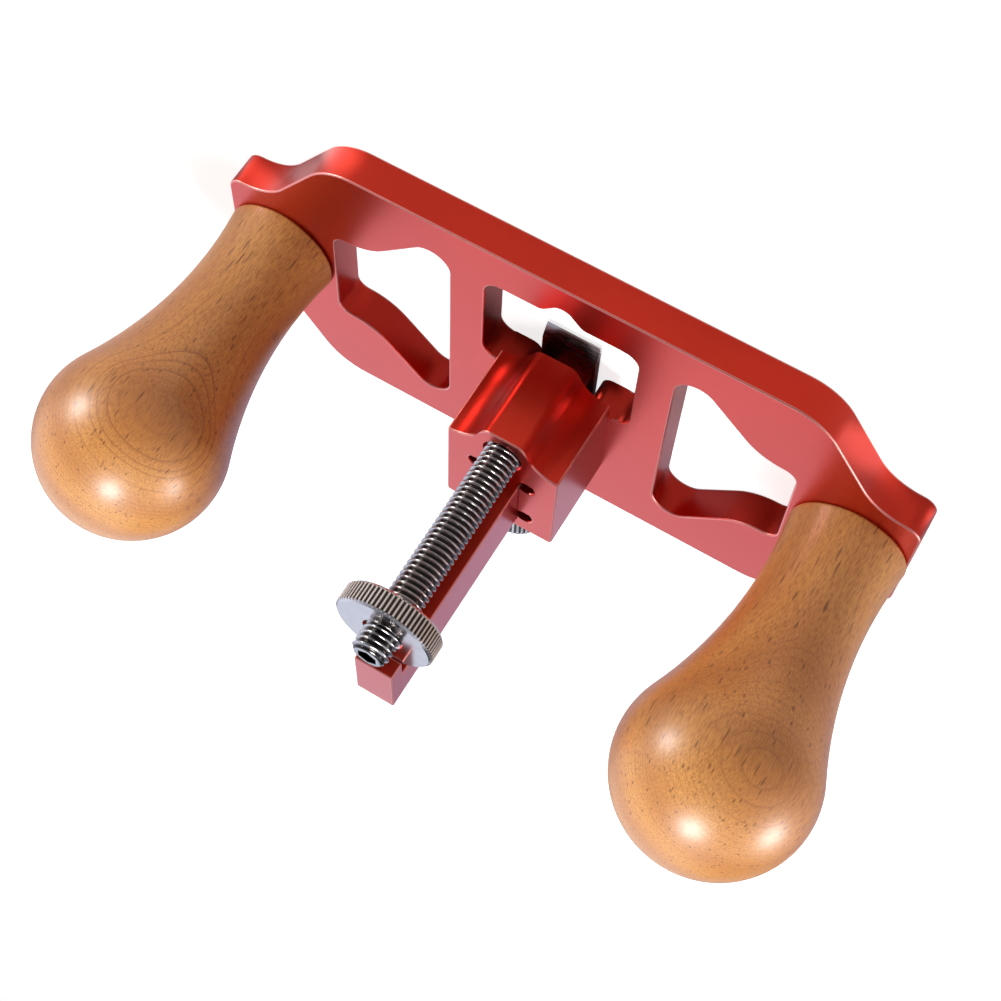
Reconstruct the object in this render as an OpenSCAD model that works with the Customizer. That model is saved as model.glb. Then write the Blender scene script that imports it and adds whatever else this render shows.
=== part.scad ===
// Hand router plane: an anodised aluminium sole with two turned handles, a guide block, and a
// cutter on a sliding bar that a knurled wheel raises and lowers along a fixed screw.
// X runs along the sole, -Y is the side the cutting edge faces, Z = 0 is the underside of the sole.

/* [Sole plate] */
// Length of the plate, tab end to tab end
plate_l = 190.5; // [180:0.5:215]
// Width of the plate, front edge to rear edge
plate_w = 89; // [80:0.5:105]
// Thickness of the plate
plate_t = 9.6; // [8:0.1:13]
// Width of the tabs that carry the handles
tab_w = 39; // [36:0.5:46]
// Rounding of the four tab corners
tab_corner_r = 4; // [2:0.5:6]
// Distance from the middle at which the long edges start to curve in
shoulder_x = 57.5; // [52:0.5:60]
// Radius of both bends of the curved shoulders
shoulder_r = 15.2; // [8:0.1:17]

/* [Side windows] */
// Inner wall of a side window, from the middle of the plate
side_in_x = 30.5; // [28:0.1:34]
// Outer wall of a side window, from the middle of the plate
side_out_x = 64; // [58:0.1:66]
// Half height of a side window at its tall inner end
side_in_h = 32.3; // [28:0.1:36]
// Half height of a side window at its low outer end
side_out_h = 17; // [14:0.1:20]
// Rounding of the tall inner corners
side_in_r = 5.5; // [3:0.1:7]
// Bend radius of the wavy edge towards the outer end
side_bend_r = 16; // [8:0.1:18]
// Rounding of the outer corners
side_out_r = 3.5; // [2:0.1:6]

/* [Centre window] */
// Half width of the window in front of the block
centre_hw = 20.8; // [18.5:0.1:24]
// Distance of its front edge ahead of the middle of the plate
centre_front = 31.9; // [26:0.1:34]
// Rise of the bay in the middle of the front edge
bay_rise = 4.2; // [2:0.1:6]
// Half width of that bay
bay_hw = 6.8; // [5:0.1:9]
// Bend radius of the bay's edge
bay_r = 3.2; // [1.5:0.1:4]
// Rounding of the window's four corners
centre_r = 4.5; // [2:0.1:6]
// Distance of the ledge behind the middle of the plate
ledge_y = 0.8; // [0:0.1:3]
// Rounding where the ledge turns into the cutter's notch
ledge_r = 3.2; // [1:0.1:4]
// Side clearance between the blade and the notch
notch_side_clear = 1; // [0.4:0.1:1.4]
// Clearance behind the blade in the notch
notch_end_clear = 1.2; // [0.5:0.1:3]
// Rounding of the notch's inner corners
notch_r = 2; // [0.5:0.1:3]

/* [Guide block] */
// Width of the block
block_w = 30.7; // [29:0.1:36]
// Height of the block above the plate
block_h = 25.6; // [20:0.1:32]
// Half width of the flat on the block's front
block_nose_hw = 3.4; // [2:0.1:5]
// Depth from the nose back to the front corners
block_nose_drop = 8.5; // [6:0.1:10]
// Rounding of the nose's edges
block_nose_r = 3; // [1:0.1:4]
// Hollow bend beside the nose
block_hollow_r = 9.4; // [5:0.1:12]
// Rounding of the rear corners
block_rear_r = 1; // [0.5:0.1:3]
// Wall in front of the depth screw
block_front_wall = 3.2; // [2.5:0.1:6]
// Wall behind the bar, tapped for the lock screw
block_rear_wall = 3.6; // [3.2:0.1:6]
// Sliding clearance of the bar in its slot, each side
slot_clear = 0.1; // [0.05:0.01:0.3]
// Radius of the relief holes at the slot's corners
relief_r = 2.3; // [1.5:0.1:3]
// How far the relief centres lie outside the slot's side walls
relief_out = 1.7; // [0.5:0.1:2]
// How far the front reliefs lie ahead of the slot's front wall
relief_front = 0.6; // [0:0.1:1]
// How far the rear reliefs lie ahead of the slot's rear wall
relief_rear = 3.6; // [1:0.1:5]

/* [Block screws] */
// Distance of the screws from the block's sides
post_screw_inset = 2.9; // [2.6:0.1:3.1]
// Distance between the two screw rows
post_screw_rows = 14.8; // [12:0.1:18]
// Radius of the screw thread
post_screw_r = 1.5; // [1.2:0.1:1.7]
// Radius of the countersunk head
post_screw_head_r = 2.9; // [2.4:0.1:3.1]
// Length of thread inside the block
post_screw_grip = 12; // [8:0.5:16]

/* [Handles] */
// Distance of the handle axes from the ends of the plate
handle_inset = 14.85; // [12:0.05:17]
// Radius at the narrowest part of the neck
neck_r = 14.1; // [11:0.1:15.5]
// Height of the narrowest part above the plate
neck_z = 16; // [10:0.5:22]
// Radius of the ball end
ball_r = 24.3; // [20:0.1:28]
// Height of the ball's centre above the plate
ball_z = 66.8; // [58:0.1:76]
// Rounding of the bottom edge
handle_edge_r = 0.8; // [0.4:0.1:1.5]
// Outer radius of the threaded insert
insert_r = 5; // [4.5:0.1:6.5]
// Length of the threaded insert
insert_l = 18; // [14:0.5:24]
// Room above the insert in its hole
insert_hole_extra = 4; // [2:0.5:8]
// Radius of the handle screw's thread
handle_screw_r = 3; // [2:0.1:3.5]
// Radius of the handle screw's countersunk head
handle_screw_head_r = 5.8; // [4.5:0.1:6.5]
// Length of thread inside the insert
handle_screw_grip = 14; // [8:0.5:16]

/* [Depth screw and wheel] */
// Distance of the depth screw ahead of the middle of the plate
screw_front = 5.5; // [4:0.1:7]
// Outside diameter of the thread
screw_d = 9.525; // [8:0.005:11]
// Pitch of the thread
screw_pitch = 1.5875; // [1:0.0005:2]
// Depth of the thread grooves
screw_groove = 0.95; // [0.5:0.01:1.1]
// Length of screw that stands out of the block
screw_out = 60.5; // [56:0.1:75]
// Bare block left under the screw's lower end
screw_floor = 1; // [0.5:0.1:6]
// Bevel at both ends of the screw
screw_end_bevel = 1.2; // [0.8:0.1:2]
// Width across the flats of the socket
socket_af = 4.8; // [3:0.1:5.5]
// Depth of the socket
socket_depth = 6; // [3:0.5:10]
// Bevel around the mouth of the tapped hole
mouth_bevel = 0.6; // [0.3:0.1:1.2]
// Radius of the wheel over its ridges
wheel_r = 13.1; // [12:0.1:14]
// Thickness of the wheel
wheel_t = 6; // [4.5:0.1:7]
// Height of the wheel's underside above the block, as set
wheel_set = 47.9; // [40:0.1:49]
// Number of ridges around the wheel
wheel_ridges = 70; // [40:2:90]
// Depth of the grooves between the ridges
wheel_groove = 0.45; // [0.2:0.05:0.6]
// Bevel around both faces of the wheel
wheel_bevel = 0.7; // [0.4:0.1:1.2]

/* [Cutter] */
// Width of the bar
bar_w = 10.4; // [9:0.1:12]
// Depth of the bar, front to rear
bar_d = 18.4; // [15:0.1:20]
// Gap between the depth screw and the bar's front face
bar_screw_gap = 6.3; // [5:0.1:7.5]
// Length of bar above the wheel
bar_tip = 4.6; // [3:0.1:8]
// Play of the wheel in the bar's notch, each side
wheel_play = 0.2; // [0.15:0.05:0.5]
// Clearance between the wheel's rim and the floor of that notch
rim_clear = 4.7; // [1:0.1:6]
// Height of the blade's flat underside above the sole, as set
blade_lift = 1; // [0.5:0.1:3]
// Width of the blade
blade_w = 15.2; // [13.5:0.1:16.5]
// Thickness of the blade
blade_t = 2.2; // [1.8:0.1:3]
// Distance of the cutting edge ahead of the middle of the plate
blade_front = 13.2; // [11:0.1:18]
// Angle of the ground edge
blade_bevel = 30; // [25:1:45]
// Distance between the two blade screws
blade_screw_gap = 9; // [7.5:0.1:10]
// Radius of the blade screws' thread
blade_screw_r = 1.5; // [1:0.1:1.8]
// Radius of the blade screws' countersunk heads
blade_screw_head_r = 2.8; // [2.3:0.1:3.2]
// Length of thread inside the bar
blade_screw_grip = 9; // [6:0.5:14]

/* [Lock screw] */
// Height of the lock screw's axis above the plate
lock_rise = 13.9; // [11:0.1:16]
// Radius of the lock screw's thread
lock_r = 2.95; // [2.4:0.05:3.5]
// Gap between the pad and the bar when the lock is closed
lock_gap = 0.2; // [0.1:0.05:0.4]
// Thickness of the pad
pad_t = 1.6; // [1.2:0.1:2.2]
// Radial clearance of the pad in the tapped hole
pad_clear = 0.3; // [0.2:0.05:0.5]
// Radius of the pin that carries the pad
pad_pin_r = 1.25; // [0.8:0.05:1.5]
// Length of that pin
pad_pin_l = 0.8; // [0.5:0.05:1]
// Length of bare thread between the block and the collar
lock_bare = 3; // [2.6:0.1:3.2]
// Radius of the collar
lock_collar_r = 4.8; // [4:0.1:6]
// Length of the collar
lock_collar_l = 2.8; // [2:0.1:3]
// Radius of the knurled head
lock_head_r = 8; // [6.5:0.1:9]
// Length of the knurled head
lock_head_l = 10.8; // [7:0.1:11]
// Number of ridges around the head
lock_ridges = 40; // [24:2:60]
// Depth of the grooves between the ridges
lock_groove = 0.35; // [0.2:0.05:0.5]
// Bevel around both ends of the head
lock_bevel = 0.8; // [0.4:0.1:1.5]

/* [Fits] */
// Radial clearance of a thread in its tapped hole
thread_fit = 0.05; // [0.02:0.01:0.1]
// Radial clearance of a screw in its plain hole
hole_clear = 0.2; // [0.1:0.05:0.3]
// Depth of the screw heads below the surface
head_sink = 0.3; // [0.1:0.05:0.5]
// Depth of the sockets in the countersunk heads, as a share of the head
head_socket_depth = 0.8; // [0.5:0.05:0.9]
// Radius of those sockets, as a share of the thread's radius
head_socket_r = 0.62; // [0.5:0.02:0.7]

/* [Hidden] */
$fn = 64;
red = "#b3211d";
beech = "#c98a4b";
steel = "#b9b9bd";
dark_steel = "#3b3335";
brass = "#b5913f";
nylon = "#e8e4d8";
// points on a right-angle bend
corner_steps = 8;
// points on each bend of a wavy edge
bend_steps = 12;
// share of the room between its ends that the bends of a wavy edge may fill
bend_share = 0.99;
// how far a cutting solid runs past the face it opens
past = 1;

screw_r = screw_d / 2;
screw_y = -screw_front;
bar_front_y = screw_y + screw_r + bar_screw_gap;
bar_rear_y = bar_front_y + bar_d;
bar_y = (bar_front_y + bar_rear_y) / 2;
slot_front_y = bar_front_y - slot_clear;
slot_rear_y = bar_rear_y + slot_clear;
slot_hw = bar_w / 2 + slot_clear;

block_front_y = screw_y - screw_r - block_front_wall;
block_corner_y = block_front_y + block_nose_drop;
block_rear_y = slot_rear_y + block_rear_wall;
block_top = plate_t + block_h;

notch_hw = blade_w / 2 + notch_side_clear;
notch_end_y = bar_rear_y + notch_end_clear;

wheel_z = block_top + wheel_set;
wheel_top = wheel_z + wheel_t;
bar_top = wheel_top + wheel_play + bar_tip;
bar_bottom = blade_lift + blade_t;
rim_y = screw_y + wheel_r;
bar_notch_y = rim_y + rim_clear;

handle_x = plate_l / 2 - handle_inset;

post_screw_x = block_w / 2 - post_screw_inset;
post_mid_y = (ledge_y + block_rear_y) / 2;
post_screw_ys = [post_mid_y - post_screw_rows / 2, post_mid_y + post_screw_rows / 2];

lock_z = plate_t + lock_rise;
pad_front_y = bar_rear_y + lock_gap;
pad_rear_y = pad_front_y + pad_t;
lock_hole_r = lock_r + thread_fit;
collar_y = block_rear_y + lock_bare;
head_y = collar_y + lock_collar_l;

// Points on an arc about c, from angle a0 to angle a1
function arc(c, r, a0, a1, steps) =
    [for (i = [0:steps]) c + r * [cos(a0 + (a1 - a0) * i / steps), sin(a0 + (a1 - a0) * i / steps)]];

// A wavy edge that falls from p0 to p1 with X growing: a round bend, a slope and a hollow bend.
// The bends shrink together where the two ends lie too close for them.
function wave(p0, r0, p1, r1) =
    let (run = p1.x - p0.x,
        drop = p0.y - p1.y,
        room = (run * run + drop * drop) / (2 * drop),
        k = min(1, bend_share * room / (r0 + r1)),
        c0 = p0 - [0, r0 * k],
        c1 = p1 + [0, r1 * k],
        across = c1 - c0,
        slope = asin((r0 + r1) * k / norm(across)) - atan2(across.y, across.x))
    concat(arc(c0, r0 * k, 90, 90 - slope, bend_steps), arc(c1, r1 * k, 270 - slope, 270, bend_steps));

function flip_x(points) = [for (i = [len(points) - 1:-1:0]) [-points[i].x, points[i].y]];
function flip_y(points) = [for (i = [len(points) - 1:-1:0]) [points[i].x, -points[i].y]];
function both_x(points) = concat(points, flip_x(points));
function both_y(points) = concat(points, flip_y(points));

// Closed outline of the plate
function plate_outline() =
    let (end_x = plate_l / 2 - tab_corner_r,
        shoulder = wave([shoulder_x, plate_w / 2], shoulder_r, [end_x, tab_w / 2], shoulder_r),
        tip = arc([end_x, tab_w / 2 - tab_corner_r], tab_corner_r, 90, 0, corner_steps))
    both_x(both_y(concat(shoulder, tip)));

// Closed outline of the window on the +X side
function side_outline() =
    let (crest_x = side_in_x + side_in_r,
        far_x = side_out_x - side_out_r,
        inner = arc([crest_x, side_in_h - side_in_r], side_in_r, 180, 90, corner_steps),
        edge = wave([crest_x, side_in_h], side_in_r, [far_x, side_out_h], side_bend_r),
        outer = arc([far_x, side_out_h - side_out_r], side_out_r, 90, 0, corner_steps))
    both_y(concat(inner, edge, outer));

// Closed outline of the centre window and the cutter's notch, with +Y towards the front edge
function centre_outline() =
    let (bay = wave([0, centre_front + bay_rise], bay_r, [bay_hw, centre_front], bay_r),
        far = arc([centre_hw - centre_r, centre_front - centre_r], centre_r, 90, 0, corner_steps),
        near = arc([centre_hw - centre_r, centre_r - ledge_y], centre_r, 0, -90, corner_steps),
        ledge = arc([notch_hw + ledge_r, -ledge_y - ledge_r], ledge_r, 90, 180, corner_steps),
        end = arc([notch_hw - notch_r, notch_r - notch_end_y], notch_r, 0, -90, corner_steps))
    both_x(concat(bay, far, near, ledge, end));

// Closed outline of the guide block, with +Y towards its nose
function block_outline() =
    let (nose = wave([block_nose_hw, -block_front_y], block_nose_r,
            [block_w / 2, -block_corner_y], block_hollow_r),
        rear = arc([block_w / 2 - block_rear_r, block_rear_r - block_rear_y], block_rear_r, 0, -90,
            corner_steps))
    both_x(concat(nose, rear));

// Round profile of a handle from the plate up: bottom edge, hollow neck, ball
function handle_profile() =
    let (rise = ball_z - neck_z,
        hollow_r = (neck_r * neck_r + rise * rise - ball_r * ball_r) / (2 * (ball_r - neck_r)),
        meet = atan2(rise, neck_r + hollow_r),
        foot = asin((neck_z - handle_edge_r) / hollow_r),
        foot_r = neck_r + hollow_r * (1 - cos(foot)),
        hollow_c = [neck_r + hollow_r, neck_z])
    concat([[0, 0]],
        arc([foot_r - handle_edge_r, handle_edge_r], handle_edge_r, -90, 0, corner_steps),
        arc(hollow_c, hollow_r, 180 + foot, 180 - meet, 2 * bend_steps),
        arc([0, ball_z], ball_r, -meet, 90, 3 * bend_steps));

// A knurled round: straight ridges along Z, bevelled at both ends.
// The cones that cut the bevels run on past the ridges by the depth of the grooves.
module knurled(r, length, ridges, groove, bevel) {
    step = 360 / ridges;
    star = [for (i = [0:ridges - 1], side = [0, 1])
        (r - side * groove) * [cos((i + side / 2) * step), sin((i + side / 2) * step)]];
    intersection() {
        linear_extrude(length) polygon(star);
        rotate_extrude() polygon([[0, 0], [r - bevel, 0], [r + groove, bevel + groove],
            [r + groove, length - bevel - groove], [r - bevel, length], [0, length]]);
    }
}

// A countersunk screw, head down at Z = 0, with a hexagon socket in the head
module countersunk(r, head_r, length) {
    difference() {
        union() {
            cylinder(h = head_r - r, r1 = head_r, r2 = r);
            cylinder(h = length, r = r);
        }
        translate([0, 0, -past])
            cylinder(h = past + (head_r - r) * head_socket_depth, r = r * head_socket_r, $fn = 6);
    }
}

// The hole that a countersunk screw drops into, with its head sunk below the surface
module countersink(r, head_r, depth) {
    translate([0, 0, -past]) cylinder(h = depth + past, r = r + hole_clear);
    translate([0, 0, -past]) cylinder(h = past + head_sink, r = head_r + hole_clear);
    translate([0, 0, head_sink]) cylinder(h = head_r - r, r1 = head_r + hole_clear, r2 = r + hole_clear);
}

module base_plate() {
    color(red) difference() {
        linear_extrude(plate_t) difference() {
            polygon(plate_outline());
            for (side = [0, 1]) mirror([side, 0]) polygon(side_outline());
            mirror([0, 1]) polygon(centre_outline());
        }
        for (side = [-1, 1])
            translate([side * handle_x, 0, 0])
                countersink(handle_screw_r, handle_screw_head_r, plate_t + past);
        for (side = [-1, 1], y = post_screw_ys)
            translate([side * post_screw_x, y, 0])
                countersink(post_screw_r, post_screw_head_r, plate_t + past);
    }
}

module post_block() {
    color(red) difference() {
        translate([0, 0, plate_t]) linear_extrude(block_h) mirror([0, 1]) polygon(block_outline());
        translate([-slot_hw, slot_front_y, plate_t - past])
            cube([2 * slot_hw, slot_rear_y - slot_front_y, block_h + 2 * past]);
        for (side = [-1, 1], y = [slot_front_y - relief_front, slot_rear_y - relief_rear])
            translate([side * (slot_hw + relief_out), y, plate_t - past])
                cylinder(h = block_h + 2 * past, r = relief_r);
        translate([0, screw_y, plate_t - past])
            cylinder(h = block_h + 2 * past, r = screw_r + thread_fit);
        translate([0, screw_y, block_top - mouth_bevel])
            cylinder(h = mouth_bevel, r1 = screw_r + thread_fit, r2 = screw_r + thread_fit + mouth_bevel);
        translate([0, slot_rear_y - past, lock_z]) rotate([-90, 0, 0])
            cylinder(h = block_rear_wall + 2 * past, r = lock_hole_r);
        for (side = [-1, 1], y = post_screw_ys)
            translate([side * post_screw_x, y, plate_t - past])
                cylinder(h = post_screw_grip + 2 * past, r = post_screw_r + thread_fit);
    }
}

module post_screw(side, row) {
    color(steel) translate([side * post_screw_x, post_screw_ys[row], head_sink])
        countersunk(post_screw_r, post_screw_head_r, plate_t - head_sink + post_screw_grip);
}

module handle(side) {
    color(beech) translate([side * handle_x, 0, plate_t]) difference() {
        rotate_extrude() polygon(handle_profile());
        translate([0, 0, -past]) cylinder(h = insert_l + insert_hole_extra + past, r = insert_r);
    }
}

module handle_insert(side) {
    color(brass) translate([side * handle_x, 0, plate_t]) difference() {
        cylinder(h = insert_l, r = insert_r);
        translate([0, 0, -past]) cylinder(h = insert_l + 2 * past, r = handle_screw_r + thread_fit);
    }
}

module handle_screw(side) {
    color(steel) translate([side * handle_x, 0, head_sink])
        countersunk(handle_screw_r, handle_screw_head_r, plate_t - head_sink + handle_screw_grip);
}

// The thread is drawn as rings at its pitch, with flat crests an eighth of the pitch wide
module depth_screw() {
    length = block_h - screw_floor + screw_out;
    crest = screw_pitch / 8;
    turns = floor((length - 2 * screw_end_bevel) / screw_pitch);
    threads = [for (i = [0:turns - 1], k = [0:2])
        let (z = screw_end_bevel + i * screw_pitch)
        [k == 2 ? screw_r - screw_groove : screw_r, z + (k == 2 ? (crest + screw_pitch) / 2 : k * crest)]];
    color(steel) translate([0, screw_y, plate_t + screw_floor]) difference() {
        rotate_extrude() polygon(concat([[0, 0], [screw_r - screw_end_bevel, 0]], threads,
            [[screw_r, screw_end_bevel + turns * screw_pitch], [screw_r, length - screw_end_bevel],
            [screw_r - screw_end_bevel, length], [0, length]]));
        translate([0, 0, length - socket_depth])
            cylinder(h = socket_depth + past, d = socket_af / cos(30), $fn = 6);
    }
}

module depth_wheel() {
    color(steel) translate([0, screw_y, wheel_z]) difference() {
        knurled(wheel_r, wheel_t, wheel_ridges, wheel_groove, wheel_bevel);
        translate([0, 0, -past]) cylinder(h = wheel_t + 2 * past, r = screw_r + thread_fit);
    }
}

module cutter_bar() {
    color(red) difference() {
        translate([-bar_w / 2, bar_front_y, bar_bottom]) cube([bar_w, bar_d, bar_top - bar_bottom]);
        translate([-bar_w / 2 - past, bar_front_y - past, wheel_z - wheel_play])
            cube([bar_w + 2 * past, bar_notch_y - bar_front_y + past, wheel_t + 2 * wheel_play]);
        for (row = [0, 1])
            translate([0, bar_y + (row - 0.5) * blade_screw_gap, bar_bottom - past])
                cylinder(h = blade_screw_grip + 2 * past, r = blade_screw_r + thread_fit);
    }
}

// Flat underside, ground edge on top, so the edge cuts at the blade's lower face
module cutter_blade() {
    bevel_run = blade_t / tan(blade_bevel);
    color(dark_steel) difference() {
        translate([-blade_w / 2, 0, blade_lift]) rotate([90, 0, 90]) linear_extrude(blade_w)
            polygon([[-blade_front, 0], [bar_rear_y, 0], [bar_rear_y, blade_t],
                [bevel_run - blade_front, blade_t]]);
        for (row = [0, 1])
            translate([0, bar_y + (row - 0.5) * blade_screw_gap, blade_lift])
                countersink(blade_screw_r, blade_screw_head_r, blade_t + past);
    }
}

module blade_screw(row) {
    color(steel) translate([0, bar_y + (row - 0.5) * blade_screw_gap, blade_lift + head_sink])
        countersunk(blade_screw_r, blade_screw_head_r, blade_t - head_sink + blade_screw_grip);
}

module lock_screw() {
    pin_y = pad_rear_y - pad_pin_l;
    color(steel) translate([0, 0, lock_z]) rotate([-90, 0, 0]) union() {
        translate([0, 0, pin_y]) cylinder(h = pad_pin_l + past, r = pad_pin_r);
        translate([0, 0, pad_rear_y + thread_fit])
            cylinder(h = collar_y - pad_rear_y - thread_fit, r = lock_r);
        translate([0, 0, collar_y]) cylinder(h = lock_collar_l, r = lock_collar_r);
        translate([0, 0, head_y]) knurled(lock_head_r, lock_head_l, lock_ridges, lock_groove, lock_bevel);
    }
}

module lock_pad() {
    color(nylon) translate([0, pad_front_y, lock_z]) rotate([-90, 0, 0]) difference() {
        cylinder(h = pad_t, r = lock_hole_r - pad_clear);
        translate([0, 0, pad_t - pad_pin_l - thread_fit])
            cylinder(h = pad_pin_l + thread_fit + past, r = pad_pin_r + thread_fit);
    }
}

base_plate();
post_block();
post_screw(-1, 0);  // post_screw_1
post_screw(1, 0);  // post_screw_2
post_screw(-1, 1);  // post_screw_3
post_screw(1, 1);  // post_screw_4
handle(-1);  // left_handle
handle(1);  // right_handle
handle_insert(-1);  // left_handle_insert
handle_insert(1);  // right_handle_insert
handle_screw(-1);  // left_handle_screw
handle_screw(1);  // right_handle_screw
depth_screw();
depth_wheel();
cutter_bar();
cutter_blade();
blade_screw(0);  // blade_screw_1
blade_screw(1);  // blade_screw_2
lock_screw();
lock_pad();
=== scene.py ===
import math

import bmesh
import bpy
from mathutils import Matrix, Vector


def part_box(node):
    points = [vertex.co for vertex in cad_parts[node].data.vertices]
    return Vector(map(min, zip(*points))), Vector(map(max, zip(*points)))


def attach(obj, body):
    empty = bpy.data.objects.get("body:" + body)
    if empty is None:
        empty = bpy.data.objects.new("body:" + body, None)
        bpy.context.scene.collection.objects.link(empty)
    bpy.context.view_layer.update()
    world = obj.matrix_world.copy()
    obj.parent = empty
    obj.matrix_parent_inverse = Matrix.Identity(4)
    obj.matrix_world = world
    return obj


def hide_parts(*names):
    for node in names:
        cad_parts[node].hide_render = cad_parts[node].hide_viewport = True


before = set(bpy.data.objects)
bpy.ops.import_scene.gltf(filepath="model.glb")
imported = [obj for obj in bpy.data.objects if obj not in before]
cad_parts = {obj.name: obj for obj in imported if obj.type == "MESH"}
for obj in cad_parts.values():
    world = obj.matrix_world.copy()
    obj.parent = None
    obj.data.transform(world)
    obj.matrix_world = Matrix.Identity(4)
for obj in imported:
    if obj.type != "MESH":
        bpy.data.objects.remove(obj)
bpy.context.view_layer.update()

# Sole plate
# A flat aluminium plate with three windows milled through it, its edges broken with a fine bevel.
# It is blasted, anodised red, and drilled from below for the screws that hold everything else.
mm = 0.001
touch = 0.01 * mm
same_point = 0.002 * mm
sharp_angle = math.radians(30)
plate_break, hole_margin = 0.45 * mm, 7 * mm


def pick(piece):
    """Makes a piece the active one and the only one selected."""
    bpy.ops.object.select_all(action="DESELECT")
    piece.select_set(True)
    bpy.context.view_layer.objects.active = piece


def solid_copy(source, name):
    """A copy of a CAD solid with its triangles joined into whole faces."""
    piece = bpy.data.objects.new(name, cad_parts[source].data.copy())
    bpy.context.scene.collection.objects.link(piece)
    pick(piece)
    bpy.ops.mesh.customdata_custom_splitnormals_clear()
    bpy.ops.object.mode_set(mode="EDIT")
    bpy.ops.mesh.select_all(action="SELECT")
    bpy.ops.mesh.remove_doubles(threshold=same_point)
    bpy.ops.mesh.dissolve_limited(angle_limit=math.radians(0.2))
    bpy.ops.object.mode_set(mode="OBJECT")
    return piece


def break_edges(piece, width, wanted, steps=3):
    """Bevels the sharp edges whose middle point is wanted and marks the faces that this makes."""
    bpy.ops.object.mode_set(mode="EDIT")
    bpy.ops.mesh.select_mode(type="EDGE")
    bpy.ops.mesh.select_all(action="DESELECT")
    shape = bmesh.from_edit_mesh(piece.data)
    for edge in shape.edges:
        sharp = edge.is_manifold and edge.calc_face_angle() > sharp_angle
        edge.select = sharp and wanted((edge.verts[0].co + edge.verts[1].co) / 2)
    bmesh.update_edit_mesh(piece.data)
    bpy.ops.mesh.bevel(offset=width, segments=steps, affect="EDGES", clamp_overlap=False)
    shape = bmesh.from_edit_mesh(piece.data)
    broken = shape.faces.layers.float.new("broken_edge")
    for face in shape.faces:
        narrow = face.calc_area() < width * face.calc_perimeter() / 2
        face[broken] = float(face.select and narrow)
    bpy.ops.object.mode_set(mode="OBJECT")


def even_shading(piece, angle=35):
    """Smooth over bevels and bends, with flat faces left flat."""
    pick(piece)
    bpy.ops.object.shade_smooth_by_angle(angle=math.radians(angle))
    weigh = piece.modifiers.new("weigh", "WEIGHTED_NORMAL")
    weigh.keep_sharp = True
    bpy.ops.object.modifier_apply(modifier=weigh.name)


def fit(piece, material, slot, body, *replaced):
    """Gives a finished piece its material and hangs it on its body."""
    piece.data.materials.clear()
    piece.data.materials.append(material)
    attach(piece, body)
    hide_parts(*replaced)


def blank_material(name):
    """A new material with its shader and its object coordinates."""
    material = bpy.data.materials.new(name)
    material.use_nodes = True
    tree = material.node_tree
    return material, tree, tree.nodes["Principled BSDF"], add(tree, "TexCoord").outputs["Object"]


def add(tree, kind, inputs=None, **settings):
    """Adds a shader node, each input set to a value or joined to another node's output."""
    made = tree.nodes.new("ShaderNode" + kind)
    for key, value in settings.items():
        setattr(made, key, value)
    for key, value in (inputs or {}).items():
        if isinstance(value, bpy.types.NodeSocket):
            tree.links.new(value, made.inputs[key])
        else:
            made.inputs[key].default_value = value
    return made


def blend(tree, factor, first, second):
    """A colour between two others."""
    return add(tree, "Mix", {0: factor, 6: first, 7: second}, data_type="RGBA").outputs[2]


def spread(tree, value, low, high, start=0.0, end=1.0):
    """Maps the part of a value from low to high onto start to end."""
    inputs = {"Value": value, "From Min": low, "From Max": high, "To Min": start, "To Max": end}
    return add(tree, "MapRange", inputs).outputs["Result"]


red_anodised, tree, shader, place = blank_material("red_anodised")
drift = add(tree, "TexNoise", {"Vector": place, "Scale": 35.0, "Detail": 3.0}).outputs["Fac"]
grain = add(tree, "TexNoise", {"Vector": place, "Scale": 5200.0, "Detail": 2.0}).outputs["Fac"]
dye_and_edge_highlight = blend(tree, spread(tree, drift, 0.3, 0.7), (0.74, 0.026, 0.002, 1), (0.68, 0.021, 0.0015, 1))
# Painted highlight: the bevelled edges are painted pale pink and made rougher.
painted_edge_highlight = add(tree, "Attribute", attribute_name="broken_edge").outputs["Fac"]
dye_and_edge_highlight = blend(tree, painted_edge_highlight, dye_and_edge_highlight, (0.92, 0.30, 0.25, 1))
tree.links.new(dye_and_edge_highlight, shader.inputs["Base Color"])
rough = spread(tree, grain, 0.2, 0.8, 0.28, 0.35)
rough = add(tree, "Mix", {0: painted_edge_highlight, 2: rough, 3: 0.46}).outputs[0]
tree.links.new(rough, shader.inputs["Roughness"])
bump = add(tree, "Bump", {"Strength": 0.2, "Distance": 0.012 * mm, "Height": grain})
tree.links.new(bump.outputs["Normal"], shader.inputs["Normal"])
shader.inputs["Metallic"].default_value = 1.0
shader.inputs["Coat Weight"].default_value = 1.0
shader.inputs["Coat IOR"].default_value = 1.36
shader.inputs["Coat Roughness"].default_value = 0.30

plate_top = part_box("base_plate")[1].z
screw_places = []
for number in range(1, 5):
    low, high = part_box(f"post_screw_{number}")
    screw_places.append((low + high) / 2)
for side in ("left", "right"):
    low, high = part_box(f"{side}_handle_screw")
    screw_places.append((low + high) / 2)


def on_plate_rim(point):
    """True on the outline and the windows, away from the drilled holes."""
    flat = min(abs(point.z), abs(point.z - plate_top)) < touch
    return flat and all((point - hole).to_2d().length > hole_margin for hole in screw_places)


sole = solid_copy("base_plate", "sole_plate")
break_edges(sole, plate_break, on_plate_rim)
even_shading(sole)
fit(sole, red_anodised, "red_anodised", "base", "base_plate")

# Guide block
# Milled from aluminium bar with an ogee front, slotted from top to bottom for the cutter bar.
# It is tapped for the depth screw and the thumbscrew, anodised red and screwed down on the sole.
block_break = 0.45 * mm
slot_half, slot_front, rear_edge = 8 * mm, -11 * mm, 1 * mm
block_low, block_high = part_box("post_block")


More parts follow.
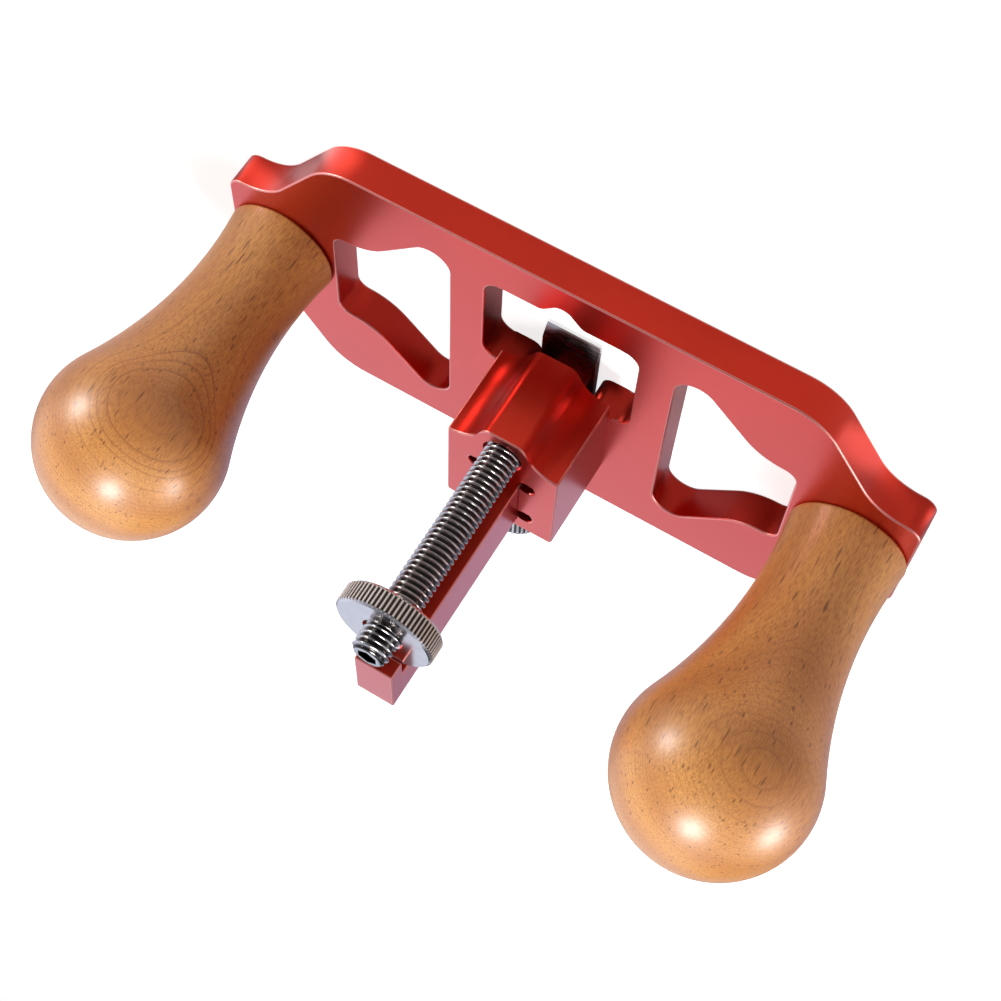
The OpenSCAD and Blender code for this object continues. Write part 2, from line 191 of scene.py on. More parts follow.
def on_block_rim(point):
    """True round the top and down the outer corners, and not in the mouth of the slot."""
    top = abs(point.z - block_high.z) < touch
    slot = abs(point.x) < slot_half and slot_front < point.y < block_high.y - rear_edge
    corner = abs(point.x) > block_high.x - touch and block_low.z < point.z < block_high.z
    return (top and not slot) or (corner and not top)


block = solid_copy("post_block", "guide_block")
break_edges(block, block_break, on_block_rim)
even_shading(block)
fit(block, red_anodised, "red_anodised", "base", "post_block")

# Block screws
# Four stainless countersunk socket screws, driven up from the sole into the block.
# Their heads lie a hair below the sole so that it can slide on the work.
stainless, tree, shader, place = blank_material("stainless")
haze = add(tree, "TexNoise", {"Vector": place, "Scale": 160.0, "Detail": 4.0}).outputs["Fac"]
lines = add(tree, "TexNoise", {"Vector": place, "Scale": 3500.0, "Detail": 2.0}).outputs["Fac"]
tone = blend(tree, spread(tree, haze, 0.3, 0.7), (0.50, 0.48, 0.47, 1), (0.42, 0.40, 0.39, 1))
tree.links.new(tone, shader.inputs["Base Color"])
tree.links.new(spread(tree, lines, 0.25, 0.75, 0.14, 0.26), shader.inputs["Roughness"])
bump = add(tree, "Bump", {"Strength": 0.15, "Distance": 0.01 * mm, "Height": lines})
tree.links.new(bump.outputs["Normal"], shader.inputs["Normal"])
shader.inputs["Metallic"].default_value = 1.0


def paint_solid(source, material):
    """Gives a CAD solid that is shown as it is its material."""
    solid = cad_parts[source]
    solid.data.materials.clear()
    solid.data.materials.append(material)


for number in range(1, 5):
    paint_solid(f"post_screw_{number}", stainless)

# Handles
# Two pears turned from beech with a hollow neck and a ball on top, sanded and varnished.
# Each is bored from below for its insert, and the grain runs up the handle.
neck_r, neck_z = 14.1 * mm, 16 * mm
ball_r, ball_z = 24.28 * mm, 66.8 * mm
foot_edge = 0.8 * mm
bore_r, bore_l = 5 * mm, 22 * mm
foot_steps, hollow_steps, ball_steps, pear_sides = 6, 28, 52, 96
crown_angle = 88.5
pith_far, growth_band, ring_wander = 90 * mm, 11 * mm, 5 * mm
plain_neck, ringed_ball = 25 * mm, 45 * mm
ray_grain, fibre_grain, pore_grain = (860, 860, 95), (2600, 2600, 170), (3600, 3600, 480)


def arc(centre, radius, start, end, steps):
    """Points on an arc, from one angle in degrees to another, as (radius, height) pairs."""
    turns = [math.radians(start + (end - start) * i / steps) for i in range(steps + 1)]
    return [(centre[0] + radius * math.cos(t), centre[1] + radius * math.sin(t)) for t in turns]


def pear():
    """The turned outline from the top of the bore, round the foot and up to the crown."""
    rise = ball_z - neck_z
    hollow_r = (neck_r**2 + rise**2 - ball_r**2) / (2 * (ball_r - neck_r))
    meet = math.degrees(math.atan2(rise, neck_r + hollow_r))
    foot = math.degrees(math.asin((neck_z - foot_edge) / hollow_r))
    foot_r = neck_r + hollow_r * (1 - math.cos(math.radians(foot)))
    edge = arc((foot_r - foot_edge, foot_edge), foot_edge, -90, 0, foot_steps)
    hollow = arc((neck_r + hollow_r, neck_z), hollow_r, 180 + foot, 180 - meet, hollow_steps)
    ball = arc((0, ball_z), ball_r, -meet, crown_angle, ball_steps)
    return [(bore_r, bore_l), (bore_r, 0)] + edge + hollow[1:] + ball[1:]


def turned(name, axis_x, axis_y, foot_z, outline, sides):
    """Draws an outline round an upright axis, ring by ring, and closes it with a point."""
    bpy.ops.object.select_all(action="DESELECT")
    radius, height = outline[0]
    bpy.ops.mesh.primitive_circle_add(
        vertices=sides, radius=radius, fill_type="NGON", location=(axis_x, axis_y, foot_z + height)
    )
    piece = bpy.context.object
    piece.name = name
    bpy.ops.object.mode_set(mode="EDIT")
    bpy.ops.mesh.select_all(action="SELECT")
    for wide, high in outline[1:]:
        bpy.ops.mesh.extrude_region_move(TRANSFORM_OT_translate={"value": (0, 0, high - height)})
        bpy.ops.transform.resize(
            value=(wide / radius, wide / radius, 1),
            center_override=(axis_x, axis_y, foot_z + high),
        )
        radius, height = wide, high
    bpy.ops.mesh.merge(type="CENTER")
    bpy.ops.mesh.select_all(action="SELECT")
    bpy.ops.mesh.normals_make_consistent(inside=False)
    bpy.ops.object.mode_set(mode="OBJECT")
    bpy.ops.object.transform_apply(location=True, rotation=True, scale=True)
    return piece


def reckon(tree, operation, first, second=0.0):
    """A number worked out from one or two others."""
    return add(tree, "Math", {0: first, 1: second}, operation=operation).outputs[0]


def vector(tree, operation, first, second):
    """A vector worked out from two others."""
    return add(tree, "VectorMath", {0: first, 1: second}, operation=operation).outputs["Vector"]


def scaled(tree, first, factor):
    """A vector made longer or shorter."""
    return add(tree, "VectorMath", {0: first, "Scale": factor}, operation="SCALE").outputs["Vector"]


def reach(tree, first):
    """The length of a vector."""
    return add(tree, "VectorMath", {0: first}, operation="LENGTH").outputs["Value"]


def beech(name, axis, bulge, ring, line, first_year):
    """Varnished beech: growth rings that bulge to one side, ray flecks and fine fibre."""
    material, tree, shader, place = blank_material(name)
    sideways = Vector((bulge[0], bulge[1], 0))
    lean = sideways * (-bulge[2] / sideways.length_squared)
    pith = axis - sideways.normalized() * pith_far - lean * axis.z
    wander = add(tree, "TexNoise", {"Vector": place, "Scale": 16.0, "Detail": 2.0}).outputs["Color"]
    wander = scaled(tree, vector(tree, "SUBTRACT", wander, (0.5, 0.5, 0.5)), ring_wander)
    out = vector(tree, "SUBTRACT", vector(tree, "ADD", place, wander), pith)
    height = add(tree, "SeparateXYZ", {"Vector": place}).outputs["Z"]
    out = vector(tree, "SUBTRACT", out, scaled(tree, lean, height))
    far = reach(tree, vector(tree, "MULTIPLY", out, (1, 1, 0)))
    growth = reckon(tree, "SUBTRACT", far, pith_far + ball_r)
    growth = reckon(tree, "COSINE", reckon(tree, "MULTIPLY", growth, math.tau / growth_band))
    uneven = add(tree, "TexNoise", {"W": far, "Scale": 260.0, "Detail": 1.0}, noise_dimensions="1D")
    count = reckon(tree, "MULTIPLY", far, 1 / ring)
    count = reckon(tree, "ADD", count, uneven.outputs["Fac"])
    year = reckon(tree, "ADD", reckon(tree, "FLOOR", count), first_year)
    within = reckon(tree, "FRACT", count)
    luck = add(tree, "TexWhiteNoise", {"W": year}, noise_dimensions="1D").outputs["Value"]
    late = reckon(tree, "POWER", within, 7.0)
    late = reckon(tree, "MULTIPLY", late, spread(tree, within, 0.97, 1.0, 1.0, 0.2))
    late = reckon(tree, "MULTIPLY", late, spread(tree, luck, 0, 1, 0.15, line))
    faint = spread(tree, height, plain_neck, ringed_ball, 0.25, 1.0)
    late = reckon(tree, "MULTIPLY", late, faint)
    rays = vector(tree, "MULTIPLY", place, ray_grain)
    rays = add(tree, "TexVoronoi", {"Vector": rays, "Scale": 1.0}).outputs
    dark = add(tree, "SeparateColor", {"Color": rays["Color"]}).outputs["Red"]
    fleck = spread(tree, rays["Distance"], 0.15, 0.26, 1.0, 0.0)
    fleck = reckon(tree, "MULTIPLY", fleck, spread(tree, dark, 0.15, 0.7, 0.0, 0.8))
    fibre = vector(tree, "MULTIPLY", place, fibre_grain)
    fibre = add(tree, "TexNoise", {"Vector": fibre, "Scale": 1.0, "Detail": 3.0}).outputs["Fac"]
    pores = vector(tree, "MULTIPLY", place, pore_grain)
    pores = add(tree, "TexNoise", {"Vector": pores, "Scale": 1.0, "Detail": 2.0}).outputs["Fac"]
    cloud = add(tree, "TexNoise", {"Vector": place, "Scale": 45.0, "Detail": 2.0}).outputs["Fac"]
    wood = blend(tree, spread(tree, cloud, 0.3, 0.7), (0.80, 0.405, 0.114, 1), (0.70, 0.318, 0.080, 1))
    wood = blend(tree, spread(tree, growth, -1, 1, 0.0, 0.5), wood, (0.50, 0.190, 0.048, 1))
    wood = blend(tree, late, wood, (0.30, 0.090, 0.024, 1))
    wood = blend(tree, spread(tree, fibre, 0.35, 0.75, 0.0, 0.35), wood, (0.42, 0.150, 0.040, 1))
    wood = blend(tree, spread(tree, pores, 0.46, 0.66, 0.0, 0.6), wood, (0.36, 0.115, 0.030, 1))
    wood = blend(tree, fleck, wood, (0.22, 0.072, 0.020, 1))
    tree.links.new(wood, shader.inputs["Base Color"])
    tree.links.new(spread(tree, fibre, 0.3, 0.7, 0.42, 0.54), shader.inputs["Roughness"])
    bump = add(tree, "Bump", {"Strength": 0.3, "Distance": 0.03 * mm, "Height": fibre})
    tree.links.new(bump.outputs["Normal"], shader.inputs["Normal"])
    skin = add(tree, "Bump", {"Strength": 0.35, "Distance": 0.010 * mm, "Height": pores})
    tree.links.new(skin.outputs["Normal"], shader.inputs["Coat Normal"])
    shader.inputs["Coat Weight"].default_value = 0.75
    shader.inputs["Coat Roughness"].default_value = 0.31
    return material


for side, bulge, ring, line, first_year in (
    ("right", (-0.42, -0.90, -0.10), 1.1 * mm, 1.0, 91.0),
    ("left", (-0.36, -0.93, 0.09), 0.9 * mm, 0.60, 65.0),
):
    low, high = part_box(f"{side}_handle")
    axis = (low + high) / 2
    pear_handle = turned(f"{side}_pear_handle", axis.x, axis.y, low.z, pear(), pear_sides)
    even_shading(pear_handle, 50)
    axis.z = low.z + ball_z
    wood = beech(f"varnished_beech_{side}", axis, bulge, ring, line, first_year)
    fit(pear_handle, wood, "beech", "base", f"{side}_handle")

# Handle inserts and screws
# A brass insert is pressed into the bore of each handle, and a countersunk socket screw comes up
# through the sole into it.
brass, tree, shader, place = blank_material("brass")
haze = add(tree, "TexNoise", {"Vector": place, "Scale": 220.0, "Detail": 4.0}).outputs["Fac"]
tone = blend(tree, spread(tree, haze, 0.3, 0.7), (0.62, 0.42, 0.12, 1), (0.50, 0.32, 0.08, 1))
tree.links.new(tone, shader.inputs["Base Color"])
tree.links.new(spread(tree, haze, 0.3, 0.7, 0.25, 0.4), shader.inputs["Roughness"])
shader.inputs["Metallic"].default_value = 1.0
for side in ("left", "right"):
    paint_solid(f"{side}_handle_insert", brass)
    paint_solid(f"{side}_handle_screw", stainless)

# Depth screw
# A long stainless set screw with a coarse thread over its whole length, fixed in the block.
# Its ends are bevelled and the top one has a hexagon socket.
screw_r, screw_pitch, screw_groove = 4.7625 * mm, 1.5875 * mm, 0.95 * mm
screw_bevel = 1.2 * mm
socket_across, socket_depth = 4.8 * mm, 6 * mm
crest_fullness = 0.75
flank_steps, turn_steps = 12, 48
trim_over, thread_trim_sides = 0.1 * mm, 97
trim_turn = 0.01
# The painted shade in the thread's grooves stops this short of the top end.
groove_shade_end = 0.05 * mm


def combine(piece, tool, operation):
    """Intersects, cuts or joins a piece with a second shape, which is used up."""
    pick(piece)
    step = piece.modifiers.new("step", "BOOLEAN")
    step.operation = operation
    step.solver = "EXACT"
    step.object = tool
    bpy.ops.object.modifier_apply(modifier=step.name)
    bpy.data.objects.remove(tool)


def bevelled_round(radius, length, bevel, sides):
    """A plain round along +Z from the origin with both ends bevelled."""
    bpy.ops.object.select_all(action="DESELECT")
    bpy.ops.mesh.primitive_cylinder_add(
        vertices=sides,
        radius=radius,
        depth=length,
        location=(0, 0, length / 2),
        rotation=(0, 0, trim_turn),
    )
    piece = bpy.context.object
    break_edges(piece, bevel, lambda point: abs(point.z) > length / 2 - same_point / 2, 1)
    bpy.ops.object.transform_apply(location=True, rotation=True, scale=True)
    return piece


def threaded_round(name, radius, groove, pitch, length, bevel):
    """A right-handed rolled thread along +Z from the origin, bevelled at both ends."""
    outline = []
    for i in range(flank_steps + 1):
        wave = math.cos(math.tau * (i + 0.5) / flank_steps)
        swell = math.copysign(abs(wave) ** crest_fullness, wave)
        outline.append((radius - groove * (1 - swell) / 2, pitch * i / flank_steps))
    bpy.ops.object.select_all(action="DESELECT")
    bpy.ops.mesh.primitive_plane_add(size=pitch, location=(0, 0, 0))
    piece = bpy.context.object
    piece.name = name
    bpy.ops.object.mode_set(mode="EDIT")
    bpy.ops.mesh.select_mode(type="VERT")
    bpy.ops.mesh.select_all(action="SELECT")
    bpy.ops.mesh.merge(type="CENTER")
    bpy.ops.transform.translate(value=(outline[0][0], 0, -pitch))
    for (wide, high), (last_wide, last_high) in zip(outline[1:], outline):
        step = (wide - last_wide, 0, high - last_high)
        bpy.ops.mesh.extrude_region_move(TRANSFORM_OT_translate={"value": step})
    bpy.ops.object.mode_set(mode="OBJECT")
    turn = piece.modifiers.new("turn", "SCREW")
    turn.axis = "Z"
    turn.angle = math.tau
    turn.screw_offset = pitch
    turn.iterations = math.ceil(length / pitch) + 2
    turn.steps = turn.render_steps = turn_steps
    bpy.ops.object.modifier_apply(modifier=turn.name)
    bpy.ops.object.mode_set(mode="EDIT")
    bpy.ops.mesh.select_all(action="SELECT")
    bpy.ops.mesh.remove_doubles(threshold=same_point)
    bpy.ops.mesh.fill_holes(sides=0)
    bpy.ops.mesh.select_all(action="SELECT")
    bpy.ops.mesh.normals_make_consistent(inside=False)
    bpy.ops.object.mode_set(mode="OBJECT")
    trim = bevelled_round(radius + trim_over, length, bevel + trim_over, thread_trim_sides)
    combine(piece, trim, "INTERSECT")
    return piece


def set_down(piece, place, tilt=(0, 0, 0)):
    """Puts a piece made at the origin in its place, kept in its mesh."""
    pick(piece)
    piece.rotation_euler = tilt
    piece.location = place
    bpy.ops.object.transform_apply(location=True, rotation=True, scale=True)


def turned_steel(name, centre, tilt, light, dark, grooves, zone, satin):
    """Turned steel round an axis, with painted shade in a zone's grooves and a satin share on its
    ridges.
    """
    material, tree, shader, place = blank_material(name)
    place = vector(tree, "SUBTRACT", place, centre)
    place = add(tree, "Mapping", {"Vector": place, "Rotation": tilt}).outputs["Vector"]
    far = reach(tree, vector(tree, "MULTIPLY", place, (1, 1, 0)))
    along = add(tree, "SeparateXYZ", {"Vector": place}).outputs["Z"]
    tracks = add(tree, "TexNoise", {"W": far, "Scale": 4500.0, "Detail": 2.0}, noise_dimensions="1D")
    haze = add(tree, "TexNoise", {"Vector": place, "Scale": 260.0, "Detail": 3.0}).outputs["Fac"]
    above = reckon(tree, "GREATER_THAN", along, zone[0])
    inside = reckon(tree, "MULTIPLY", above, reckon(tree, "LESS_THAN", along, zone[1]))
    # Painted shade: the grooves inside the zone are darkened nearly to black.
    groove_shade = reckon(tree, "MULTIPLY", inside, spread(tree, far, *grooves, 0.96, 0.0))
    steel = blend(tree, spread(tree, haze, 0.3, 0.7), light, dark)
    rough = spread(tree, tracks.outputs["Fac"], 0.3, 0.7, 0.12, 0.20)
    shader.inputs["Metallic"].default_value = 1.0
    if satin:
        dull = reckon(tree, "MULTIPLY", inside, satin)
        steel = blend(tree, dull, steel, (0.97, 0.95, 0.94, 1))
        rough = add(tree, "Math", {0: dull, 1: 0.3, 2: rough}, operation="MULTIPLY_ADD").outputs[0]
        tree.links.new(reckon(tree, "SUBTRACT", 1.0, dull), shader.inputs["Metallic"])
    steel = blend(tree, groove_shade, steel, (0.030, 0.026, 0.024, 1))
    tree.links.new(steel, shader.inputs["Base Color"])
    tree.links.new(rough, shader.inputs["Roughness"])
    bump = add(tree, "Bump", {"Strength": 0.1, "Distance": 0.004 * mm, "Height": tracks.outputs["Fac"]})
    tree.links.new(bump.outputs["Normal"], shader.inputs["Normal"])
    return material


low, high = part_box("depth_screw")
rod_axis = (low + high) / 2
rod_length = high.z - low.z
rod = threaded_round("threaded_rod", screw_r, screw_groove, screw_pitch, rod_length, screw_bevel)
bpy.ops.mesh.primitive_cylinder_add(
    vertices=6,
    radius=socket_across / 2 / math.cos(math.radians(30)),
    depth=2 * socket_depth,
    location=(0, 0, rod_length),
)
combine(rod, bpy.context.object, "DIFFERENCE")
set_down(rod, (rod_axis.x, rod_axis.y, low.z))
pick(rod)
bpy.ops.object.shade_smooth_by_angle(angle=math.radians(50))
rolled_thread = turned_steel(
    "rolled_thread",
    (0, rod_axis.y, 0),
    (0, 0, 0),
    (0.56, 0.53, 0.51, 1),
    (0.46, 0.43, 0.42, 1),
    (screw_r - 0.9 * screw_groove, screw_r - 0.28 * screw_groove),
    (low.z, high.z - groove_shade_end),
    0.0,
)
fit(rod, rolled_thread, "stainless", "base", "depth_screw")

# Depth wheel
# A polished steel nut with a straight knurl round its rim, bevelled at both faces.
# It runs on the depth screw and carries the cutter bar up and down in the bar's notch.
wheel_ridges, wheel_groove, wheel_bevel = 70, 0.45 * mm, 0.7 * mm
wheel_fit, wheel_mouth, wheel_bore_sides = 0.05 * mm, 0.6 * mm, 64
knurl_trim_sides, knurl_spare, bore_spare = 131, 2 * mm, 4 * mm


def knurled_round(name, radius, length, ridges, groove, bevel):
    """A straight-knurled round along +Z from the origin with both rims bevelled."""
    bpy.ops.object.select_all(action="DESELECT")
    bpy.ops.mesh.primitive_cylinder_add(
        vertices=ridges * 4, radius=radius, depth=length + knurl_spare, location=(0, 0, length / 2)
    )
    piece = bpy.context.object
    piece.name = name
    bpy.ops.object.mode_set(mode="EDIT")
    bpy.ops.mesh.select_mode(type="VERT")
    bpy.ops.mesh.select_all(action="DESELECT")
    shape = bmesh.from_edit_mesh(piece.data)
    for corner in shape.verts:
        quarter = round(math.atan2(corner.co.y, corner.co.x) / math.tau * ridges * 4) % 4
        corner.select = quarter in (2, 3)
    bmesh.update_edit_mesh(piece.data)
    inward = (radius - groove) / radius
    bpy.ops.transform.resize(value=(inward, inward, 1), center_override=(0, 0, length / 2))
    bpy.ops.object.mode_set(mode="OBJECT")
    bpy.ops.object.transform_apply(location=True, rotation=True, scale=True)
    trim = bevelled_round(radius + trim_over, length, bevel + trim_over, knurl_trim_sides)
    combine(piece, trim, "INTERSECT")
    return piece


low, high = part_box("depth_wheel")
wheel_r, wheel_t = (high.x - low.x) / 2, high.z - low.z
wheel = knurled_round("depth_wheel_nut", wheel_r, wheel_t, wheel_ridges, wheel_groove, wheel_bevel)
bpy.ops.mesh.primitive_cylinder_add(
    vertices=wheel_bore_sides,
    radius=screw_r + wheel_fit,
    depth=wheel_t + bore_spare,
    location=(0, 0, wheel_t / 2),
)
combine(wheel, bpy.context.object, "DIFFERENCE")
break_edges(wheel, wheel_mouth, lambda point: point.to_2d().length < screw_r + 2 * wheel_fit, 1)
set_down(wheel, (0, rod_axis.y, low.z))
even_shading(wheel, 25)
polished = turned_steel(
    "polished_steel",
    (0, rod_axis.y, 0),
    (0, 0, 0),
    (0.69, 0.65, 0.64, 1),
    (0.63, 0.595, 0.585, 1),
    (wheel_r - 0.5 * wheel_groove, wheel_r - 0.15 * wheel_groove),
    (low.z + wheel_bevel, high.z - wheel_bevel),
    0.75,
)
fit(wheel, polished, "polished_steel", "wheel", "depth_wheel")

# Cutter bar
# An aluminium bar anodised like the sole, a sliding fit in the block's slot.
# A notch across its front takes the rim of the depth wheel, and the cutter is screwed below it.
bar_break, bar_foot = 0.35 * mm, 0.1 * mm
bar_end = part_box("cutter_bar")[0].z
bar = solid_copy("cutter_bar", "cutter_bar_red")
break_edges(bar, bar_break, lambda point: point.z > bar_end + bar_foot)
even_shading(bar)
fit(bar, red_anodised, "red_anodised", "cutter", "cutter_bar")

# Cutter
# A flat tool-steel blade, hardened, ground on all faces and bevelled to an edge at the front.
# It is held under the bar by two countersunk screws.
blade_break = 0.12 * mm
grinding_lines = (120, 5200, 5200)
tool_steel, tree, shader, place = blank_material("ground_tool_steel")
along = vector(tree, "MULTIPLY", place, grinding_lines)
ground = add(tree, "TexNoise", {"Vector": along, "Scale": 1.0, "Detail": 3.0}).outputs["Fac"]
haze = add(tree, "TexNoise", {"Vector": place, "Scale": 180.0, "Detail": 3.0}).outputs["Fac"]
tone = blend(tree, spread(tree, haze, 0.3, 0.7), (0.50, 0.48, 0.48, 1), (0.42, 0.40, 0.40, 1))
tree.links.new(tone, shader.inputs["Base Color"])
tree.links.new(spread(tree, ground, 0.3, 0.7, 0.16, 0.30), shader.inputs["Roughness"])
bump = add(tree, "Bump", {"Strength": 0.2, "Distance": 0.006 * mm, "Height": ground})
tree.links.new(bump.outputs["Normal"], shader.inputs["Normal"])
shader.inputs["Metallic"].default_value = 1.0

blade_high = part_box("cutter_blade")[1]
blade = solid_copy("cutter_blade", "cutter_blade_steel")
break_edges(
    blade,
    blade_break,
    lambda point: abs(point.x) > blade_high.x - touch or point.y > blade_high.y - touch,
    2,
)
even_shading(blade)
fit(blade, tool_steel, "tool_steel", "cutter", "cutter_blade")

# Cutter screws
# Two small stainless countersunk screws from under the blade up into the bar.
# Their heads lie flush with the underside of the blade, so that it can pass close over the work.
for number in (1, 2):
    paint_solid(f"blade_screw_{number}", stainless)

# Thumbscrew and pad
# A steel screw with a straight-knurled head, through the block's rear wall.
# A nylon pad turns on its tip, so that it grips the bar without marking it.
lock_r, lock_pitch, lock_thread = 2.95 * mm, 1 * mm, 0.5 * mm
collar_r, collar_l = 4.8 * mm, 2.8 * mm
head_l, head_ridges, head_groove, head_bevel = 10.8 * mm, 40, 0.35 * mm, 0.8 * mm
pin_r, pin_l = 1.25 * mm, 0.8 * mm
collar_bevel, collar_sides, collar_overlap = 0.3 * mm, 64, 1 * mm
shank_bevel, shank_gap = 0.4 * mm, 0.05 * mm
pin_bevel, pin_sides, pin_overlap = 0.15 * mm, 48, 2 * mm

low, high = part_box("lock_screw")
lock_axis = (low + high) / 2
lock_length = high.y - low.y
head_r = (high.x - low.x) / 2
shank_l = lock_length - head_l - pin_l
thumb = knurled_round("thumbscrew", head_r, head_l, head_ridges, head_groove, head_bevel)
set_down(thumb, (0, 0, lock_length - head_l))
collar = bevelled_round(collar_r, collar_l + collar_overlap, collar_bevel, collar_sides)
set_down(collar, (0, 0, lock_length - head_l - collar_l))
combine(thumb, collar, "UNION")
shank = threaded_round("shank", lock_r, lock_thread, lock_pitch, shank_l, shank_bevel)
set_down(shank, (0, 0, pin_l + shank_gap))
combine(thumb, shank, "UNION")
tip = bevelled_round(pin_r, pin_l + pin_overlap, pin_bevel, pin_sides)
combine(thumb, tip, "UNION")
set_down(thumb, (0, low.y, lock_axis.z), (-math.pi / 2, 0, 0))
even_shading(thumb, 25)
turned_head = turned_steel(
    "turned_steel",
    (0, 0, lock_axis.z),
    (math.pi / 2, 0, 0),
    (0.66, 0.65, 0.67, 1),
    (0.60, 0.59, 0.61, 1),
    (head_r - 0.8 * head_groove, head_r - 0.25 * head_groove),
    (high.y - head_l + head_bevel, high.y - head_bevel),
    0.3,
)
fit(thumb, turned_head, "polished_steel", "thumbscrew", "lock_screw")

nylon, tree, shader, place = blank_material("nylon")
cloud = add(tree, "TexNoise", {"Vector": place, "Scale": 400.0, "Detail": 3.0}).outputs["Fac"]
tone = blend(tree, spread(tree, cloud, 0.3, 0.7), (0.80, 0.77, 0.68, 1), (0.72, 0.69, 0.60, 1))
tree.links.new(tone, shader.inputs["Base Color"])
tree.links.new(spread(tree, cloud, 0.3, 0.7, 0.4, 0.55), shader.inputs["Roughness"])
paint_solid("lock_pad", nylon)

# Studio
# A pale sheet in a white room, three soft boxes and a small front lamp, with a flag that keeps the
# overhead box off the wheel and the red pieces. Sheet and room are white to the camera. Reflections
# see them darker, with four painted pools of light on the sheet, painted shade on it under the tool
# and past the far tab, and the front of the room in shade.
sheet_size, sheet_drop = 6, 0.05 * mm
bpy.ops.object.select_all(action="DESELECT")
bpy.ops.mesh.primitive_plane_add(size=sheet_size, location=(0, 0, -sheet_drop))
sheet = bpy.context.object
sheet.name = "studio_sheet"
pale, tree, shader, place = blank_material("pale_sheet")
seen = add(tree, "LightPath").outputs
direct = reckon(tree, "MAXIMUM", seen["Is Camera Ray"], seen["Is Transmission Ray"])
white = spread(tree, reach(tree, place), 0.15, 0.75, 0.80, 0.97)
spot = add(tree, "SeparateXYZ", {"Vector": place}).outputs
# Painted shade for reflections: the sheet is dimmer under the tool's outline and past the far tab.
front_or_back = spread(tree, reckon(tree, "ABSOLUTE", spot["Y"]), 42 * mm, 48 * mm)
past_windows = reckon(tree, "ADD", reckon(tree, "ABSOLUTE", spot["X"]), front_or_back)
painted_tool_shade = spread(tree, past_windows, 58 * mm, 64 * mm, 0.15, 1.0)
painted_far_shade = spread(tree, spot["X"], -92 * mm, -84 * mm, 0.04, 0.22)
painted_sheet_light = reckon(tree, "MULTIPLY", painted_far_shade, painted_tool_shade)
# Four painted pools of light, seen only in reflections.
for centre, wide, bright in (
    ((0.072, -0.046, 0), 15 * mm, 1.3),
    ((0.102, -0.027, 0), 14 * mm, 1.3),
    ((-0.080, -0.030, 0), 13 * mm, 1.0),
    ((-0.101, -0.018, 0), 6 * mm, 1.0),
):
    off = add(tree, "VectorMath", {0: place, 1: centre}, operation="DISTANCE").outputs["Value"]
    painted_sheet_light = reckon(tree, "MAXIMUM", painted_sheet_light, spread(tree, off, 0.4 * wide, wide, bright, 0.0))
lift = add(tree, "Mix", {0: seen["Is Glossy Ray"], 2: 0.0, 3: painted_sheet_light}).outputs[0]
lift = add(tree, "Mix", {0: direct, 2: lift, 3: white}).outputs[0]
tree.links.new(lift, shader.inputs["Emission Strength"])
behind = spread(tree, spot["Y"], -60 * mm, 120 * mm)
glow = blend(tree, behind, (0.88, 0.85, 0.83, 1), (0.78, 0.70, 0.95, 1))
glow = blend(tree, direct, glow, (1, 1, 1, 1))
tree.links.new(glow, shader.inputs["Emission Color"])
mirrored = blend(tree, behind, (0.32, 0.31, 0.31, 1), (0.30, 0.29, 0.42, 1))
# To bounced light the sheet is dim and warm, a painted stand-in for red light from the plate in the
# shade of the handles.
shade = blend(tree, direct, (0.46, 0.34, 0.26, 1), (0.55, 0.55, 0.56, 1))
shade = blend(tree, seen["Is Glossy Ray"], shade, mirrored)
tree.links.new(shade, shader.inputs["Base Color"])
shader.inputs["Roughness"].default_value = 0.9
shader.inputs["Specular IOR Level"].default_value = 0.0
sheet.data.materials.append(pale)


def facing(tree, way, side):
    """How far a direction faces one side of the room, from -1 to 1."""
    return add(tree, "VectorMath", {0: way, 1: side}, operation="DOT_PRODUCT").outputs["Value"]


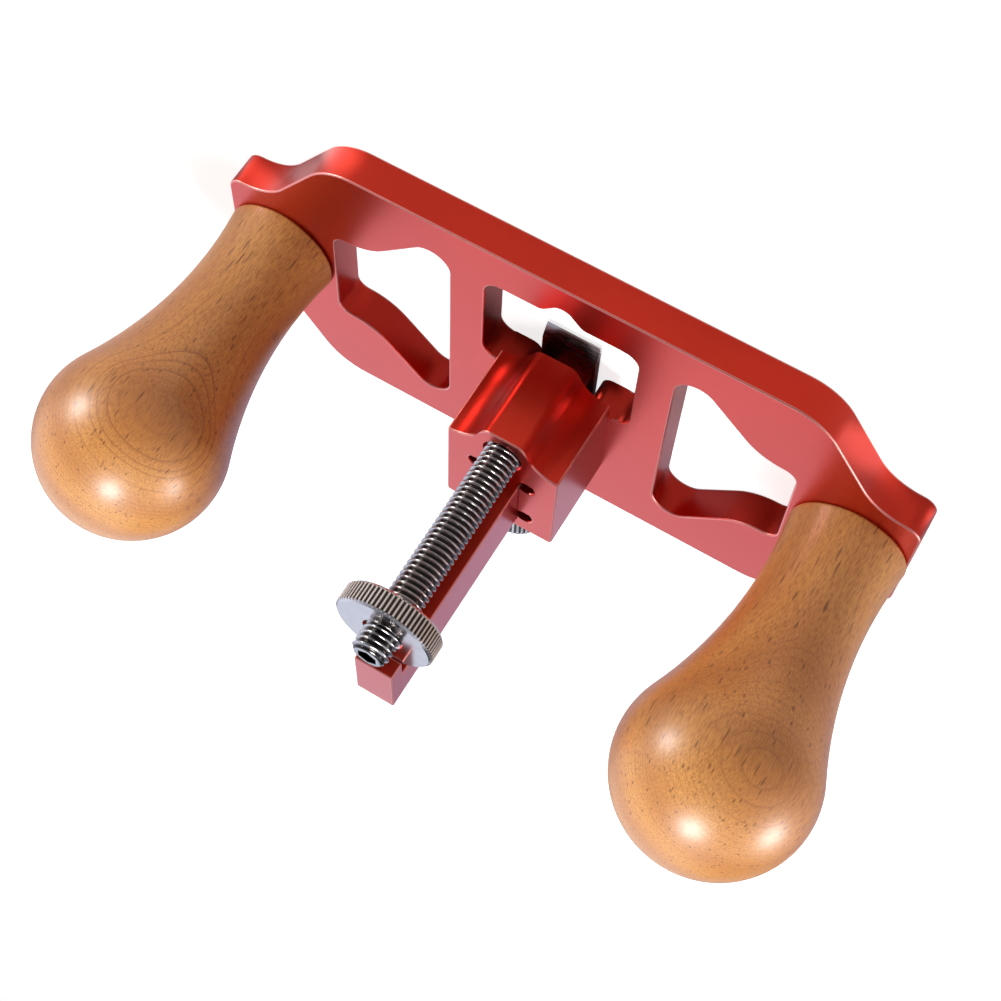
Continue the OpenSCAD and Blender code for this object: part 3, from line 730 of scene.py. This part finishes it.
front_side, far_corner = (0.0, -0.8, 0.6), (-0.50, 0.78, 0.38)
room = bpy.data.worlds.new("white_room")
bpy.context.scene.world = room
room.use_nodes = True
tree = room.node_tree
seen = add(tree, "LightPath").outputs
direct = reckon(tree, "MAXIMUM", seen["Is Camera Ray"], seen["Is Transmission Ray"])
way = add(tree, "TexCoord").outputs["Generated"]
to_front = facing(tree, way, front_side)
walls = spread(tree, to_front, 0.1, 0.95, 1.08, 0.06)
corner = spread(tree, facing(tree, way, far_corner), 0.85, 0.97, 1.0, 0.10)
walls = reckon(tree, "MULTIPLY", walls, corner)
low_wall = spread(tree, to_front, -0.62, -0.40, 0.72, 1.0)
walls = reckon(tree, "MULTIPLY", walls, low_wall)
level = add(tree, "Mix", {0: seen["Is Glossy Ray"], 2: 0.17, 3: walls}).outputs[0]
level = add(tree, "Mix", {0: direct, 2: level, 3: 1.0}).outputs[0]
tint = blend(tree, seen["Is Glossy Ray"], (1.0, 0.64, 0.46, 1), (0.92, 1.0, 1.20, 1))
tint = blend(tree, direct, tint, (1, 1, 1, 1))
tree.links.new(tint, tree.nodes["Background"].inputs["Color"])
tree.links.new(level, tree.nodes["Background"].inputs["Strength"])

flagged = bpy.data.collections.new("flagged_from_overhead")
for piece in (sole, block, bar, wheel):
    flagged.objects.link(piece)
for entry in flagged.collection_objects:
    entry.light_linking.link_state = "EXCLUDE"
lamp_aim = Vector((0, 0, 50 * mm))
for name, way, size, power in (
    ("overhead_box", (-0.17, -0.08, 0.98), 0.30, 9.6),
    ("far_end_box", (-0.935, 0.20, 0.28), 0.28, 4.8),
    ("near_end_box", (0.825, -0.545, 0.15), 0.28, 5.6),
    ("front_lamp", (-0.21, -0.84, 0.50), 0.07, 0.12),
):
    box = bpy.data.lights.new(name, "AREA")
    box.shape = "SQUARE"
    box.size = size
    box.energy = power
    lamp = bpy.data.objects.new(name, box)
    bpy.context.scene.collection.objects.link(lamp)
    lamp.location = lamp_aim + Vector(way).normalized()
    lamp.rotation_euler = Vector(way).to_track_quat("Z", "Y").to_euler()
    lamp.visible_camera = False
    if name == "overhead_box":
        lamp.light_linking.receiver_collection = flagged

# Camera
# The tool is photographed from its front, a little above the sole, with the camera rolled so far
# that the handles point to the lower left. The shift only sets the tool in its place in the frame.
lens = bpy.data.cameras.new("camera")
lens.sensor_width = 36
lens.lens = 69.039
lens.shift_x = 0.07
lens.shift_y = -0.0181
camera = bpy.data.objects.new("camera", lens)
bpy.context.scene.collection.objects.link(camera)
camera.location = (-0.09782, -0.41495, 0.22257)
camera.rotation_euler = [math.radians(a) for a in (-63.7346, 31.5977, 179.6162)]
lens.clip_start = 0.01
bpy.context.scene.camera = camera
bpy.context.scene.view_settings.view_transform = "Standard"
